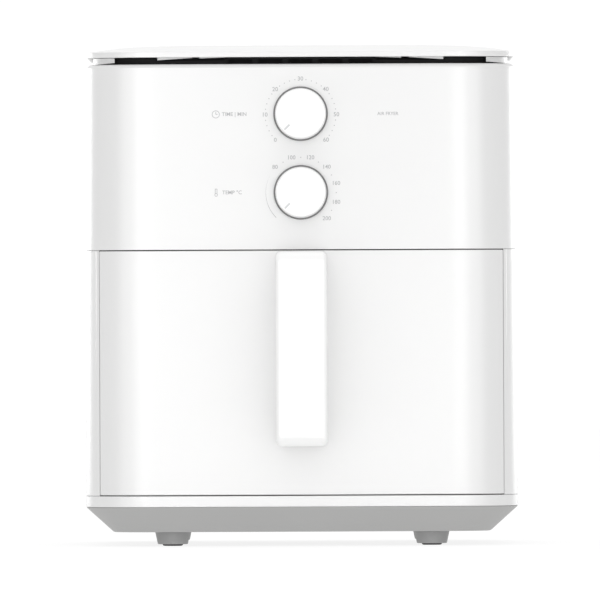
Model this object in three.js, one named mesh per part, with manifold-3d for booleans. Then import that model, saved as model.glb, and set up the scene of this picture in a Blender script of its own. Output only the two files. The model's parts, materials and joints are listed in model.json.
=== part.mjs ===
// A countertop air fryer: a white housing with a floating lid, two turning dials, and a pan in a
// pull-out drawer with a bar handle. Above the pan sit the heating coil and the fan on its motor.
//
// Millimetres, +Z up. The front faces -Y, and the origin is on the floor under the middle of the
// whole object's box.
import * as THREE from "three";
import { mergeVertices } from "three/addons/utils/BufferGeometryUtils.js";
import Module from "manifold-3d";

const wasm = await Module();
wasm.setup();

// ---------------------------------------------------------------------------------------------
// Driving dimensions
// ---------------------------------------------------------------------------------------------

// Housing in plan
const FOOT_HALF_WIDTH = 144; // half the width at the foot of the housing
const TOP_HALF_WIDTH = 142; // the sides lean in by this much at the top
const FRONT_Y = -129;
const BACK_Y = 189;
const FRONT_CORNER = 46;
const BACK_CORNER = 38;
const CROWN = 2400; // radius of the slight bulge of the front
const WALL = 2.5;
const CLEARANCE = 0.3; // between any two pieces that meet

// Heights of the housing's seams
const FOOT_Z = 1.1;
const BASE_Z = 9.3;
const RING_Z = 26.1;
const LOWER_SEAM_Z = 33.7;
const UPPER_SEAM_Z = 196.7;
const DECK_Z = 320.3;
const LID_Z = 324.9;
const LID_RIM_Z = 328.5;
const TOP_Z = 333.5;

// Drawer
const DRAWER_HALF_WIDTH = 134.5; // to the middle of the upright seams
const DRAWER_SEAM = 0.35; // half the width of the gap round the drawer
const DRAWER_BACK_Y = -104.2;
const HANDLE_WIDTH = 33.8;
const HANDLE_FRONT_Y = -191;
const HANDLE_Z = [66.6, 195.6];
const GRIP_DEPTH = 20; // thickness of the bar that the hand closes on
const ARM_HEIGHT = 17.5; // thickness of the two arms that carry the bar
const GRIP_COVER_Z = [98, 164];
const HANDLE_SCREW_Z = [75.5, 187];
const SCREW_RADIUS = 1.8;

// Pan and crisper plate
const PAN_HALF_WIDTH = 118;
const PAN_FRONT_Y = -90;
const PAN_BACK_Y = 137;
const PAN_MIDDLE = (PAN_FRONT_Y + PAN_BACK_Y) / 2;
const PAN_CORNER = 30;
const PAN_Z = [50, 166.9];
const PAN_WALL = 1.2;
const PAN_RIM = 7; // how far the rim stands out
const PLATE_Z = 64;
const PLATE_THICKNESS = 2;
const PLATE_INSET = 9; // from the pan's outline to the plate's edge

// Dials
const TIMER_Z = 287.1;
const THERMOSTAT_Z = 234.9;
const KNOB_RADIUS = 17;
const KNOB_RING_RADIUS = 18.2;
const KNOB_DEPTH = 17;
const KNOB_GAP = 1.4; // between the panel and the back of the knob
const DIAL_SHAFT_RADIUS = 3;
const DIAL_SHAFT_REACH = 14; // how far the shaft runs back from its seat in the knob

// Hot chamber
const LINER_HALF_WIDTH = 130;
const LINER_Y = [-98, 146];
const LINER_Z = [40, 196.3];
const SHEET = 0.6;
const LEDGE_Z = [163.2, 165.2];
const SENSOR_X = 84;
const SENSOR_Y = -62;
const SENSOR_BULB_Z = [178, 193.3];
const FAN_Y = 24; // the fan's axis, over the middle of the pan
const DOME_RADIUS = 96;
const DOME_TOP_Z = 222;
const COIL_RADII = [82, 67];
const COIL_TUBE_RADIUS = 3.2;
const COIL_Z = 188.5;
const COIL_LEG_ANGLE = 96; // where both legs rise, in degrees round the fan's axis
const GUARD_Z = [177.5, 195];

// Motor
const SHAFT_RADIUS = 3;
const SHAFT_Z = [196, 286.5];
const BRIDGE_Z = [245, 247];
const STACK_Z = [253, 272];
const ROTOR_RADIUS = 13.5;
const LIMB_Y = [48, 60]; // the limb that carries the coil, measured from the fan's axis

// Safety switch over the drawer's front
const SWITCH_X = 100;
const SWITCH_Y = FRONT_Y + 13;
const SWITCH_Z = [202, 216];
const PLUNGER_RADIUS = 1.8;

// Back wall
const VENT_Z = [128, 176];
const VENT_HALF_WIDTH = 50;
const GLAND_X = -78;
const GLAND_Z = 62;

// Feet
const FOOT_X = 86.3;
const FOOT_Y = [FRONT_Y + 44, BACK_Y - 40];
const FOOT_RADII = [10.3, 11.8]; // bottom, top
const PAD_RADIUS = 6.8;

// ---------------------------------------------------------------------------------------------
// Materials
// ---------------------------------------------------------------------------------------------

const paint = (color, roughness, metalness = 0) =>
  new THREE.MeshStandardMaterial({ color, roughness, metalness });

const WHITE_SHELL = paint(0xf4f4f3, 0.28);
const GREY_SHELL = paint(0xb4b4b3, 0.5);
const FOOT_GREY = paint(0x8f8f8f, 0.6);
const BLACK_PLASTIC = paint(0x111112, 0.6);
const RUBBER = paint(0x2b2b2b, 0.9);
const SILICONE = paint(0x3a3a3c, 0.7);
const DIAL_RING = paint(0x8c8c8e, 0.35, 0.8);
const STEEL = paint(0xb9bbbd, 0.35, 1);
const GALVANISED = paint(0xa9acae, 0.45, 1);
const NON_STICK = paint(0x2c2d30, 0.45);
const COIL_STEEL = paint(0x55504b, 0.5, 0.9);
const COPPER = paint(0x9c5a2e, 0.4, 0.9);
const PHENOLIC = paint(0x1f1b18, 0.6);

// ---------------------------------------------------------------------------------------------
// Solids
// ---------------------------------------------------------------------------------------------

// A closed three.js geometry as a solid, turned right side out if its faces point inwards.
function solid(geometry) {
  const source = geometry.index ? geometry.toNonIndexed() : geometry;
  const bare = new THREE.BufferGeometry();
  bare.setAttribute("position", source.getAttribute("position"));
  const merged = mergeVertices(bare, 1e-4);
  const corners = Array.from(merged.index.array);
  const kept = [];
  for (let i = 0; i < corners.length; i += 3) {
    const [a, b, c] = corners.slice(i, i + 3);
    if (a !== b && b !== c && c !== a) kept.push(a, b, c);
  }
  const build = (triangles) =>
    new wasm.Manifold(
      new wasm.Mesh({
        numProp: 3,
        vertProperties: merged.attributes.position.array,
        triVerts: new Uint32Array(triangles),
      }),
    );
  const made = build(kept);
  return made.volume() < 0 ? build(kept.reverse()) : made;
}

const join = (first, ...others) => others.reduce((a, b) => a.add(b), first);
const cut = (first, ...tools) => tools.reduce((a, b) => a.subtract(b), first);

// A named mesh of a solid, for the scene.
function piece(name, shape, material, position = [0, 0, 0]) {
  const { vertProperties, triVerts } = shape.getMesh();
  const geometry = new THREE.BufferGeometry();
  geometry.setAttribute("position", new THREE.BufferAttribute(vertProperties, 3));
  geometry.setIndex(new THREE.BufferAttribute(triVerts, 1));
  geometry.computeVertexNormals();
  const mesh = new THREE.Mesh(geometry, material);
  mesh.name = name;
  mesh.position.set(...position);
  return mesh;
}

function group(position, ...children) {
  const made = new THREE.Group();
  made.position.set(...position);
  made.add(...children);
  return made;
}

// The stretch from one distance to another on the left (-1) or the right (1), low end first.
const span = (side, near, far) => [side * near, side * far].sort((a, b) => a - b);

// A box between two values on each axis.
function block([x0, x1], [y0, y1], [z0, z1]) {
  const box = new THREE.BoxGeometry(x1 - x0, y1 - y0, z1 - z0);
  return solid(box.translate((x0 + x1) / 2, (y0 + y1) / 2, (z0 + z1) / 2));
}

// A round bar standing on Z, which may taper from its lower radius to its upper one.
function post(x, y, [z0, z1], radius, sides = 16) {
  const bar = new THREE.CylinderGeometry(radius, radius, z1 - z0, sides);
  return solid(bar.rotateX(Math.PI / 2).translate(x, y, (z0 + z1) / 2));
}

// A round bar lying along Y.
function peg(x, z, [y0, y1], radius, sides = 16) {
  const bar = new THREE.CylinderGeometry(radius, radius, y1 - y0, sides);
  return solid(bar.translate(x, (y0 + y1) / 2, z));
}

// A turned solid about Z, from a profile of [radius, height] points.
function turned(profile, sides = 30) {
  const points = profile.map(([radius, height]) => new THREE.Vector2(radius, height));
  return solid(new THREE.LatheGeometry(points, sides).rotateX(Math.PI / 2));
}

// A flat ring about Z with a rectangular section.
function ring(inner, outer, [z0, z1], sides = 30) {
  return turned([[inner, z0], [outer, z0], [outer, z1], [inner, z1], [inner, z0]], sides);
}

// A closed solid through a stack of [outline, height] layers whose outlines match point for point.
function loft(layers) {
  const count = layers[0][0].length;
  const positions = layers.flatMap(([outline, z]) => outline.flatMap((p) => [p.x, p.y, z]));
  const index = [];
  for (let layer = 0; layer < layers.length - 1; layer += 1) {
    for (let i = 0; i < count; i += 1) {
      const a = layer * count + i;
      const b = layer * count + ((i + 1) % count);
      index.push(a, b, b + count, a, b + count, a + count);
    }
  }
  const last = (layers.length - 1) * count;
  for (const [a, b, c] of THREE.ShapeUtils.triangulateShape(layers[0][0], [])) {
    index.push(c, b, a);
  }
  for (const [a, b, c] of THREE.ShapeUtils.triangulateShape(layers.at(-1)[0], [])) {
    index.push(last + a, last + b, last + c);
  }
  const geometry = new THREE.BufferGeometry();
  geometry.setAttribute("position", new THREE.Float32BufferAttribute(positions, 3));
  geometry.setIndex(index);
  return solid(geometry);
}

// A shape drawn in X and Y, as a slab between two heights.
function slab(shape, [z0, z1], curveSegments = 6) {
  const options = { depth: z1 - z0, bevelEnabled: false, curveSegments };
  return solid(new THREE.ExtrudeGeometry(shape, options).translate(0, 0, z0));
}

const arc = (x, y, radius, from, to, steps) =>
  new THREE.EllipseCurve(x, y, radius, radius, from, to).getPoints(steps);

// ---------------------------------------------------------------------------------------------
// Outlines
// ---------------------------------------------------------------------------------------------

function halfWidthAt(z) {
  const share = (z - LOWER_SEAM_Z) / (DECK_Z - LOWER_SEAM_Z);
  return THREE.MathUtils.lerp(FOOT_HALF_WIDTH, TOP_HALF_WIDTH, THREE.MathUtils.clamp(share, 0, 1));
}

// The housing's outline at a height, drawn in by an inset: a crowned front that runs into the round
// corners without a kink, straight sides, and a flat back.
function footprint(inset, z, steps = 7) {
  const half = halfWidthAt(z) - inset;
  const front = FRONT_Y + inset;
  const back = BACK_Y - inset;
  const corner = Math.max(FRONT_CORNER - inset, 1);
  const backCorner = Math.max(BACK_CORNER - inset, 1);
  const crown = CROWN - inset;
  const sweep = Math.asin((half - corner) / (crown - corner));
  const cornerY = front + crown - Math.sqrt((crown - corner) ** 2 - (half - corner) ** 2);
  const right = Math.PI / 2;
  return [
    ...arc(0, front + crown, crown, -right - sweep, -right + sweep, steps).slice(0, -1),
    ...arc(half - corner, cornerY, corner, -right + sweep, 0, steps),
    ...arc(half - backCorner, back - backCorner, backCorner, 0, right, steps),
    ...arc(backCorner - half, back - backCorner, backCorner, right, 2 * right, steps),
    ...arc(corner - half, cornerY, corner, 2 * right, 3 * right - sweep, steps).slice(0, -1),
  ];
}

// The housing's form between layers of [inset, height].
const hull = (layers) => loft(layers.map(([inset, z]) => [footprint(inset, z), z]));

// A rectangle with round corners, centred on the pan.
function panOutline(inset, steps = 6) {
  const x = PAN_HALF_WIDTH - inset;
  const y = (PAN_BACK_Y - PAN_FRONT_Y) / 2 - inset;
  const centre = (PAN_BACK_Y + PAN_FRONT_Y) / 2;
  const radius = Math.max(PAN_CORNER - inset, 1);
  const right = Math.PI / 2;
  return [
    ...arc(x - radius, centre - y + radius, radius, -right, 0, steps),
    ...arc(x - radius, centre + y - radius, radius, 0, right, steps),
    ...arc(radius - x, centre + y - radius, radius, right, 2 * right, steps),
    ...arc(radius - x, centre - y + radius, radius, 2 * right, 3 * right, steps),
  ];
}

const tub = (layers) => loft(layers.map(([inset, z]) => [panOutline(inset), z]));

// ---------------------------------------------------------------------------------------------
// Housing
// ---------------------------------------------------------------------------------------------

// Height of the lid's skin at a distance in from its rim: steep at first, then nearly flat.
function lidHeight(inset) {
  const rise = 1 - (1 - inset / TOP_HALF_WIDTH) ** 6;
  return LID_RIM_Z + (TOP_Z - LID_RIM_Z) * rise;
}

function topCover() {
  const insets = [1.5, 5, 11, 20, 34, 58, 90];
  const skin = hull([
    [0.4, LID_Z],
    [0, LID_Z + 0.5],
    [0, LID_RIM_Z - 0.7],
    ...insets.map((inset) => [inset, lidHeight(inset)]),
  ]);
  const hollow = hull([
    [WALL, LID_Z - 1],
    [WALL, LID_RIM_Z - WALL],
    ...insets.slice(3, 5).map((inset) => [inset + WALL, lidHeight(inset) - WALL]),
  ]);
  const clips = [-1, 1].map((side) => snapClip(side));
  return join(cut(skin, hollow), ...clips);
}

// A wedge-shaped clip under the lid's front edge, thin towards the middle.
function snapClip(side) {
  const shape = new THREE.Shape([
    new THREE.Vector2(72, LID_RIM_Z),
    new THREE.Vector2(72, LID_Z - 0.4),
    new THREE.Vector2(95, LID_Z - 1.8),
    new THREE.Vector2(95, LID_RIM_Z),
  ]);
  const wedge = new THREE.ExtrudeGeometry(shape, { depth: 2, bevelEnabled: false });
  wedge.rotateX(Math.PI / 2).scale(side, 1, 1);
  return solid(wedge.translate(0, FRONT_Y + 10.2, 0));
}

const COLLAR_INSET = 3.9;
const COLLAR_INNER = 6.4;
const WINDOW_HALF_WIDTH = 123.5;
const BACK_WINDOW_HALF_WIDTH = 96;

function upperShell() {
  const foot = UPPER_SEAM_Z + CLEARANCE;
  const form = hull([
    [0.3, foot],
    [0, foot + 0.4],
    [0, DECK_Z - 2.2],
    [0.7, DECK_Z - 0.6],
    [2.2, DECK_Z],
    [COLLAR_INSET, DECK_Z],
    [COLLAR_INSET, LID_Z - CLEARANCE],
  ]);
  const inside = hull([[WALL, foot - 1], [WALL, DECK_Z - WALL]]);
  const mouth = hull([[COLLAR_INNER, DECK_Z - 4], [COLLAR_INNER, LID_Z + 1]]);
  const window = [DECK_Z + 0.1, LID_Z + 1];
  const front = block([-WINDOW_HALF_WIDTH, WINDOW_HALF_WIDTH], [FRONT_Y - 5, FRONT_Y + 36], window);
  const back = block(
    [-BACK_WINDOW_HALF_WIDTH, BACK_WINDOW_HALF_WIDTH],
    [BACK_Y - 12, BACK_Y + 5],
    window,
  );
  const holes = [TIMER_Z, THERMOSTAT_Z].map((z) => peg(0, z, [FRONT_Y - 5, FRONT_Y + 6], 4.8, 20));
  return cut(form, inside, mouth, front, back, ...holes);
}

// Black louvres behind the slot under the lid, on a flange that hangs below the deck.
function intakeGrille() {
  const top = LID_Z - 0.6;
  const bottom = DECK_Z - 5.5;
  const flangeTop = DECK_Z - WALL - CLEARANCE;
  const neck = COLLAR_INNER + 0.4;
  const flange = WALL + CLEARANCE;
  const form = hull([[flange, bottom], [flange, flangeTop], [neck, flangeTop], [neck, top]]);
  const inside = hull([[neck + 1.6, bottom - 1], [neck + 1.6, top + 1]]);
  // The front is left clear where the lid's clips hook in.
  const clipRoom = [-1, 1].map((side) =>
    block(span(side, 71, 96), [FRONT_Y - 5, FRONT_Y + 14], [LID_Z - 2.2, top + 1]),
  );
  const slots = [];
  for (let x = -60; x <= 60; x += 20) {
    slots.push(block([x - 8, x + 8], [FRONT_Y - 5, FRONT_Y + 14], [DECK_Z + 0.4, top - 0.8]));
    slots.push(block([x - 8, x + 8], [BACK_Y - 14, BACK_Y + 5], [DECK_Z + 0.4, top - 0.8]));
  }
  return cut(form, inside, ...clipRoom, ...slots);
}

// The shelf between the two shells, which carries the motor side and closes the drawer's bay.
function midFrame() {
  const z = [LINER_Z[1] + CLEARANCE, LINER_Z[1] + 2.8];
  const sheet = hull(z.map((height) => [WALL + 0.5, height]));
  return cut(
    sheet,
    post(0, FAN_Y, [z[0] - 1, z[1] + 1], DOME_RADIUS + 16, 30),
    post(SENSOR_X, SENSOR_Y, [z[0] - 1, z[1] + 1], 3, 12),
    post(SWITCH_X, SWITCH_Y, [z[0] - 1, z[1] + 1], 2.4, 12),
  );
}

function lowerShell() {
  const z = [LOWER_SEAM_Z + 0.15, UPPER_SEAM_Z - 0.15];
  const edge = DRAWER_HALF_WIDTH + DRAWER_SEAM;
  const form = hull(z.map((height) => [0, height]));
  const inside = hull([[WALL, z[0] - 1], [WALL, z[1] + 1]]);
  // Each jamb turns back from the shell's front edge, beside the drawer.
  const jambs = [-1, 1].map((side) =>
    block(span(side, edge, edge + 2.2), [FRONT_Y, FRONT_Y + 34], z).intersect(form),
  );
  const bay = block([-edge, edge], [FRONT_Y - 5, FRONT_Y + 40], [z[0] - 1, z[1] + 1]);
  const vent = block([-VENT_HALF_WIDTH, VENT_HALF_WIDTH], [BACK_Y - 8, BACK_Y + 5], VENT_Z);
  const cordHole = peg(GLAND_X, GLAND_Z, [BACK_Y - 8, BACK_Y + 5], 6.3);
  return cut(join(cut(form, inside), ...jambs), bay, vent, cordHole);
}

function baseRing() {
  const top = LOWER_SEAM_Z - 0.3;
  const form = hull([[0, RING_Z], [0, top - 0.4], [0.4, top]]);
  const inside = hull([[3, RING_Z - 1], [3, top - 2.4]]);
  return cut(form, inside);
}

// The grey underside: its walls slope in at about 40 degrees from the ring to the feet.
const BASE_SLOPE = 18.6;

function baseCover() {
  const top = RING_Z - 0.2;
  const form = hull([[BASE_SLOPE, BASE_Z], [BASE_SLOPE - 0.9, BASE_Z + 0.2], [0.2, top]]);
  const inside = hull([[BASE_SLOPE + 2, BASE_Z + 2.2], [3.2, top + 0.5]]);
  const slots = [];
  for (let i = -4; i <= 4; i += 1) {
    slots.push(block([-40, 40], [30 + 9 * i - 2, 30 + 9 * i + 2], [BASE_Z - 1, BASE_Z + 4]));
  }
  return cut(form, inside, ...slots);
}

// A tapered foot with a pocket for its rubber pad. Both stand on their own origin at the floor.
function foot() {
  const [bottom, top] = FOOT_RADII;
  return turned([
    [0, 4.2],
    [PAD_RADIUS + 0.4, 4.2],
    [PAD_RADIUS + 0.4, FOOT_Z],
    [bottom - 0.4, FOOT_Z],
    [bottom, FOOT_Z + 0.4],
    [top, BASE_Z - 0.2],
    [0, BASE_Z - 0.2],
  ], 22);
}

function footPad() {
  const reach = PAD_RADIUS;
  return turned([[0, 0], [3.6, 0], [5.6, 0.35], [reach, 1.1], [reach, 3.9], [0, 3.9]], 16);
}

function rearVentCover() {
  const x = VENT_HALF_WIDTH;
  const [low, high] = VENT_Z;
  const flange = block([-x - 5, x + 5], [BACK_Y + 0.3, BACK_Y + 2], [low - 5, high + 5]);
  const plug = block([-x + 0.4, x - 0.4], [BACK_Y - 2.4, BACK_Y + 1], [low + 0.4, high - 0.4]);
  const slots = [];
  for (let z = low + 6; z < high - 5; z += 8) {
    slots.push(block([-x + 5, -1.5], [BACK_Y - 5, BACK_Y + 5], [z, z + 4]));
    slots.push(block([1.5, x - 5], [BACK_Y - 5, BACK_Y + 5], [z, z + 4]));
  }
  return cut(join(flange, plug), ...slots);
}

// A bush for the mains lead, with its flange outside the back wall.
function cordGland() {
  const bush = turned([
    [3.6, -7], [6, -7], [6, 0.3], [9, 0.3], [9, 1.2], [8.2, 2], [3.6, 2], [3.6, -7],
  ], 20);
  return bush.rotate([-90, 0, 0]);
}

// The duct that leads the hot air from the chamber's back to the vent.
function exhaustDuct() {
  const x = VENT_HALF_WIDTH - 1.5;
  const y = [LINER_Y[1] + CLEARANCE, BACK_Y - WALL - 0.4];
  const [low, high] = [VENT_Z[0] + 1.5, VENT_Z[1] - 1.5];
  return cut(
    block([-x, x], y, [low, high]),
    block([-x + 1.5, x - 1.5], [y[0] - 1, y[1] + 1], [low + 1.5, high - 1.5]),
  );
}

// ---------------------------------------------------------------------------------------------
// Hot chamber
// ---------------------------------------------------------------------------------------------

// Sheet-metal box, open to the front, with a ledge along each side for the pan's rim.
function chamberLiner() {
  const [front, back] = LINER_Y;
  const [low, high] = LINER_Z;
  const x = LINER_HALF_WIDTH;
  const box = block([-x, x], LINER_Y, LINER_Z);
  const inside = block([SHEET - x, x - SHEET], [front - 5, back - SHEET], [low + SHEET, high - SHEET]);
  const ledges = [-1, 1].map((side) =>
    block(span(side, PAN_HALF_WIDTH + 3, x - SHEET / 2), [front + 1, back - 8], LEDGE_Z),
  );
  const roof = [high - 3, high + 3];
  const heaterHole = post(0, FAN_Y, roof, DOME_RADIUS - 1, 30);
  const sensorHole = post(SENSOR_X, SENSOR_Y, roof, 3, 12);
  const outlet = block(
    [3 - VENT_HALF_WIDTH, VENT_HALF_WIDTH - 3],
    [back - 5, back + 5],
    [VENT_Z[0] + 3, VENT_Z[1] - 3],
  );
  return cut(join(cut(box, inside), ...ledges), heaterHole, sensorHole, outlet);
}

// The dome and all that is inside or on it are drawn round the fan's axis.
const onCoil = (radius, degrees, z) => {
  const angle = THREE.MathUtils.degToRad(degrees);
  return new THREE.Vector3(Math.cos(angle) * radius, Math.sin(angle) * radius, z);
};

function heaterDome() {
  const low = LINER_Z[1] + CLEARANCE;
  const r = DOME_RADIUS;
  const dish = turned([
    [r, low], [r + 11, low], [r + 11, low + 0.8], [r + 0.8, low + 0.8],
    [r - 3, DOME_TOP_Z - 5], [r - 8, DOME_TOP_Z], [9, DOME_TOP_Z], [9, DOME_TOP_Z - 0.8],
    [r - 8.4, DOME_TOP_Z - 0.8], [r - 3.8, DOME_TOP_Z - 5.2], [r, low],
  ]);
  const legHoles = COIL_RADII.map((radius) => {
    const { x, y } = onCoil(radius, COIL_LEG_ANGLE, 0);
    return post(x, y, [DOME_TOP_Z - 4, DOME_TOP_Z + 4], COIL_TUBE_RADIUS + 1, 12);
  });
  return cut(dish, ...legHoles);
}

// A tube bent into two rings: down one leg, round the outer ring, back round the inner ring and up
// the other leg.
function heatingElement() {
  const [outer, inner] = COIL_RADII;
  const start = COIL_LEG_ANGLE;
  const turn = start + 318;
  const leg = (radius) => [228, 206, 197].map((z) => onCoil(radius, start, z));
  const bend = (radius) => onCoil(radius, start + 220 / radius, COIL_Z + 3);
  const round = (radius) => {
    const first = start + 760 / radius;
    const angles = Array.from({ length: 17 }, (_, i) => THREE.MathUtils.lerp(first, turn, i / 16));
    return angles.map((angle) => onCoil(radius, angle, COIL_Z));
  };
  const path = [
    ...leg(outer),
    bend(outer),
    ...round(outer),
    onCoil((outer + inner) / 2, turn + 8, COIL_Z),
    ...round(inner).reverse(),
    bend(inner),
    ...leg(inner).reverse(),
  ];
  const section = new THREE.Shape(arc(0, 0, COIL_TUBE_RADIUS, 0, Math.PI * 2, 7).slice(0, -1));
  const extrudePath = new THREE.CatmullRomCurve3(path);
  return solid(new THREE.ExtrudeGeometry(section, { steps: 72, extrudePath }));
}

// A shallow tray under the coil, cut into spokes so that the air can pass.
function heaterGuard() {
  const [low, high] = GUARD_Z;
  const r = DOME_RADIUS + 3;
  const tray = turned([
    [0, low], [r, low], [r, high - 0.8], [r + 8, high - 0.8], [r + 8, high],
    [r - 0.8, high], [r - 0.8, low + 0.8], [0, low + 0.8],
  ]);
  const windows = [];
  for (const [from, to, count] of [[12, 50, 8], [54, 93, 14]]) {
    const half = (Math.PI / count) * 0.8;
    const wedge = new THREE.Shape([...arc(0, 0, to, -half, half, 2), ...arc(0, 0, from, half, -half, 1)]);
    const tool = slab(wedge, [low - 1, low + 2]);
    for (let i = 0; i < count; i += 1) windows.push(tool.rotate([0, 0, (360 / count) * i]));
  }
  return cut(tray, ...windows);
}

// A disc with upright blades along its radii; the blades stand on one side of it.
function bladedFan(radius, disc, bladeZ, count) {
  const plate = ring(SHAFT_RADIUS + CLEARANCE, radius, disc, 28);
  const hub = ring(SHAFT_RADIUS + CLEARANCE, 8, [Math.min(...bladeZ), Math.max(...disc)], 16);
  const blade = block([radius * 0.36, radius - 2], [-0.6, 0.6], bladeZ);
  const blades = Array.from({ length: count }, (_, i) => blade.rotate([0, 0, (360 / count) * i]));
  return join(plate, hub, ...blades);
}

function hexNut(z) {
  const bore = post(0, 0, [z[0] - 1, z[1] + 1], SHAFT_RADIUS + CLEARANCE);
  return cut(post(0, 0, z, 5.6, 6), bore);
}

// ---------------------------------------------------------------------------------------------
// Motor
// ---------------------------------------------------------------------------------------------

// A bridge of sheet steel over the dome, with a foot at each end.
function motorBracket() {
  const [low, high] = BRIDGE_Z;
  const foot = UPPER_SEAM_Z + 2.8;
  const deck = block([-117, 117], [-20, 20], BRIDGE_Z);
  const legs = [-1, 1].map((side) => block(span(side, 115, 117), [-20, 20], [foot, high]));
  const feet = [-1, 1].map((side) => block(span(side, 115, 129), [-20, 20], [foot, foot + 2]));
  const bushHole = post(0, 0, [low - 1, high + 1], 6.3, 20);
  return cut(join(deck, ...legs, ...feet), bushHole);
}

// The stack of laminations: a frame with a round eye for the rotor and a window beside the coil.
function motorStator() {
  const stack = block([-24, 24], [-24, 60], STACK_Z);
  const z = [STACK_Z[0] - 1, STACK_Z[1] + 1];
  return cut(stack, post(0, 0, z, ROTOR_RADIUS + 0.8, 24), block([-14, 14], [22, LIMB_Y[0]], z));
}

function motorCoil() {
  const [low, high] = STACK_Z;
  const winding = block([-13, 13], [LIMB_Y[0] - 5, LIMB_Y[1] + 5], [low - 5, high + 5]);
  const eye = block([-20, 20], [LIMB_Y[0] - 0.3, LIMB_Y[1] + 0.3], [low - 0.3, high + 0.3]);
  return cut(winding, eye);
}

// The strap over the stack that holds the upper bush.
function motorCap() {
  const foot = STACK_Z[1] + CLEARANCE;
  const top = foot + 10;
  const strap = block([-23, 23], [-8, 8], [top - 2, top]);
  const legs = [-1, 1].map((side) => block(span(side, 21, 23), [-8, 8], [foot, top]));
  return cut(join(strap, ...legs), post(0, 0, [top - 3, top + 1], 6.3, 20));
}

const bush = (z) => ring(SHAFT_RADIUS + CLEARANCE, 6, z, 20);

// ---------------------------------------------------------------------------------------------
// Controls
// ---------------------------------------------------------------------------------------------

// The dials are turned about Z with their face up, then laid to face the front.
const faceForward = (shape) => shape.rotate([90, 0, 0]);

function knob() {
  const r = KNOB_RADIUS;
  const d = KNOB_DEPTH;
  const bore = DIAL_SHAFT_RADIUS + CLEARANCE;
  const cap = turned([
    [bore, 0], [7, 0], [7, d - 5], [r - 2.5, d - 5], [r - 2.2, 0], [r, 0],
    [r - 0.35, d - 1.6], [r - 0.8, d - 0.6], [r - 1.8, d], [0, d], [0, d - 3],
    [bore, d - 3], [bore, 0],
  ], 32);
  const line = block([9.5, 15.2], [-0.55, 0.55], [d - 0.4, d + 1]).rotate([0, 0, 225]);
  return faceForward(cut(cap, line));
}

const dialRing = () => faceForward(ring(KNOB_RADIUS - 1.2, KNOB_RING_RADIUS, [0, 0.9], 36));

function dialShaft() {
  const back = DIAL_SHAFT_REACH;
  return faceForward(turned([[0, -back], [DIAL_SHAFT_RADIUS, -back], [DIAL_SHAFT_RADIUS, 17], [0, 17]], 16));
}

// A housing behind the panel with a blind hole for the dial's shaft and a neck in the panel's hole.
function controlBody(halfWidth, halfHeight, depth) {
  const box = block([-halfWidth, halfWidth], [0, depth], [-halfHeight, halfHeight]);
  const tabs = block([-halfWidth - 6, halfWidth + 6], [0, 1.5], [-5, 5]);
  const neck = peg(0, 0, [-2.2, 1], 4.5, 20);
  return cut(join(box, tabs, neck), peg(0, 0, [-5, DIAL_SHAFT_REACH], DIAL_SHAFT_RADIUS + 0.3, 16));
}

// A thin tube from the sensor up through the shelf and over to the thermostat.
function sensorTube() {
  const route = [
    [SENSOR_X, SENSOR_Y, 193.6],
    [SENSOR_X, SENSOR_Y, 202],
    [SENSOR_X - 4, SENSOR_Y - 4, 212],
    [62, -80, 218],
    [38, -88, 224],
    [28, -92, 232],
    [20.8, -100, 236],
  ];
  const extrudePath = new THREE.CatmullRomCurve3(route.map((point) => new THREE.Vector3(...point)));
  const section = new THREE.Shape(arc(0, 0, 1, 0, Math.PI * 2, 6).slice(0, -1));
  return solid(new THREE.ExtrudeGeometry(section, { steps: 20, extrudePath }));
}

function switchBody() {
  const [low, high] = SWITCH_Z;
  const box = block([-10, 10], [-5, 5], SWITCH_Z);
  const terminals = [-7, 0, 7].map((x) => block([x - 1, x + 1], [-2, 2], [high - 1, high + 7]));
  return cut(join(box, ...terminals), post(0, 0, [low - 1, low + 8], PLUNGER_RADIUS + 0.4, 12));
}

function switchPlunger() {
  return post(0, 0, [UPPER_SEAM_Z + 0.2, SWITCH_Z[0] + 5], PLUNGER_RADIUS, 12);
}

function terminalBlock() {
  const body = block([-17, 17], [-16, 0], [-8, 8]);
  const holes = [-11, 0, 11].map((x) => post(x, -8, [2, 9], 2.6, 10));
  return cut(body, ...holes);
}

// ---------------------------------------------------------------------------------------------
// Drawer
// ---------------------------------------------------------------------------------------------

const DRAWER_Z = [LOWER_SEAM_Z + 0.35, UPPER_SEAM_Z - 0.35];

// A tray on edge: its face is the housing's front skin, and its open back takes the inner panel.
function drawerFront() {
  const [low, high] = DRAWER_Z;
  const x = DRAWER_HALF_WIDTH - DRAWER_SEAM;
  const form = hull([[0.5, low], [0, low + 0.5], [0, high - 0.5], [0.5, high]]);
  const hollow = hull([[WALL, low + WALL], [WALL, high - WALL]]);
  const face = form.intersect(block([-x, x], [FRONT_Y - 5, DRAWER_BACK_Y], [low - 1, high + 1]));
  const room = hollow.intersect(block([WALL - x, x - WALL], [FRONT_Y - 5, 0], DRAWER_Z));
  const holes = HANDLE_SCREW_Z.map((z) => peg(0, z, [FRONT_Y - 5, FRONT_Y + 5], SCREW_RADIUS + 0.4, 12));
  return cut(face, room, ...holes);
}

function drawerInnerPanel() {
  const [low, high] = DRAWER_Z;
  const x = DRAWER_HALF_WIDTH - 1;
  return block([-x, x], [DRAWER_BACK_Y + CLEARANCE, DRAWER_BACK_Y + 2.3], [low + 0.4, high - 0.4]);
}

// Maps a shape's X to the object's Y, its Y to Z, and its depth to X.
const SIDEWAYS = new THREE.Matrix4().makeBasis(
  new THREE.Vector3(0, 1, 0),
  new THREE.Vector3(0, 0, 1),
  new THREE.Vector3(1, 0, 0),
);

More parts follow.
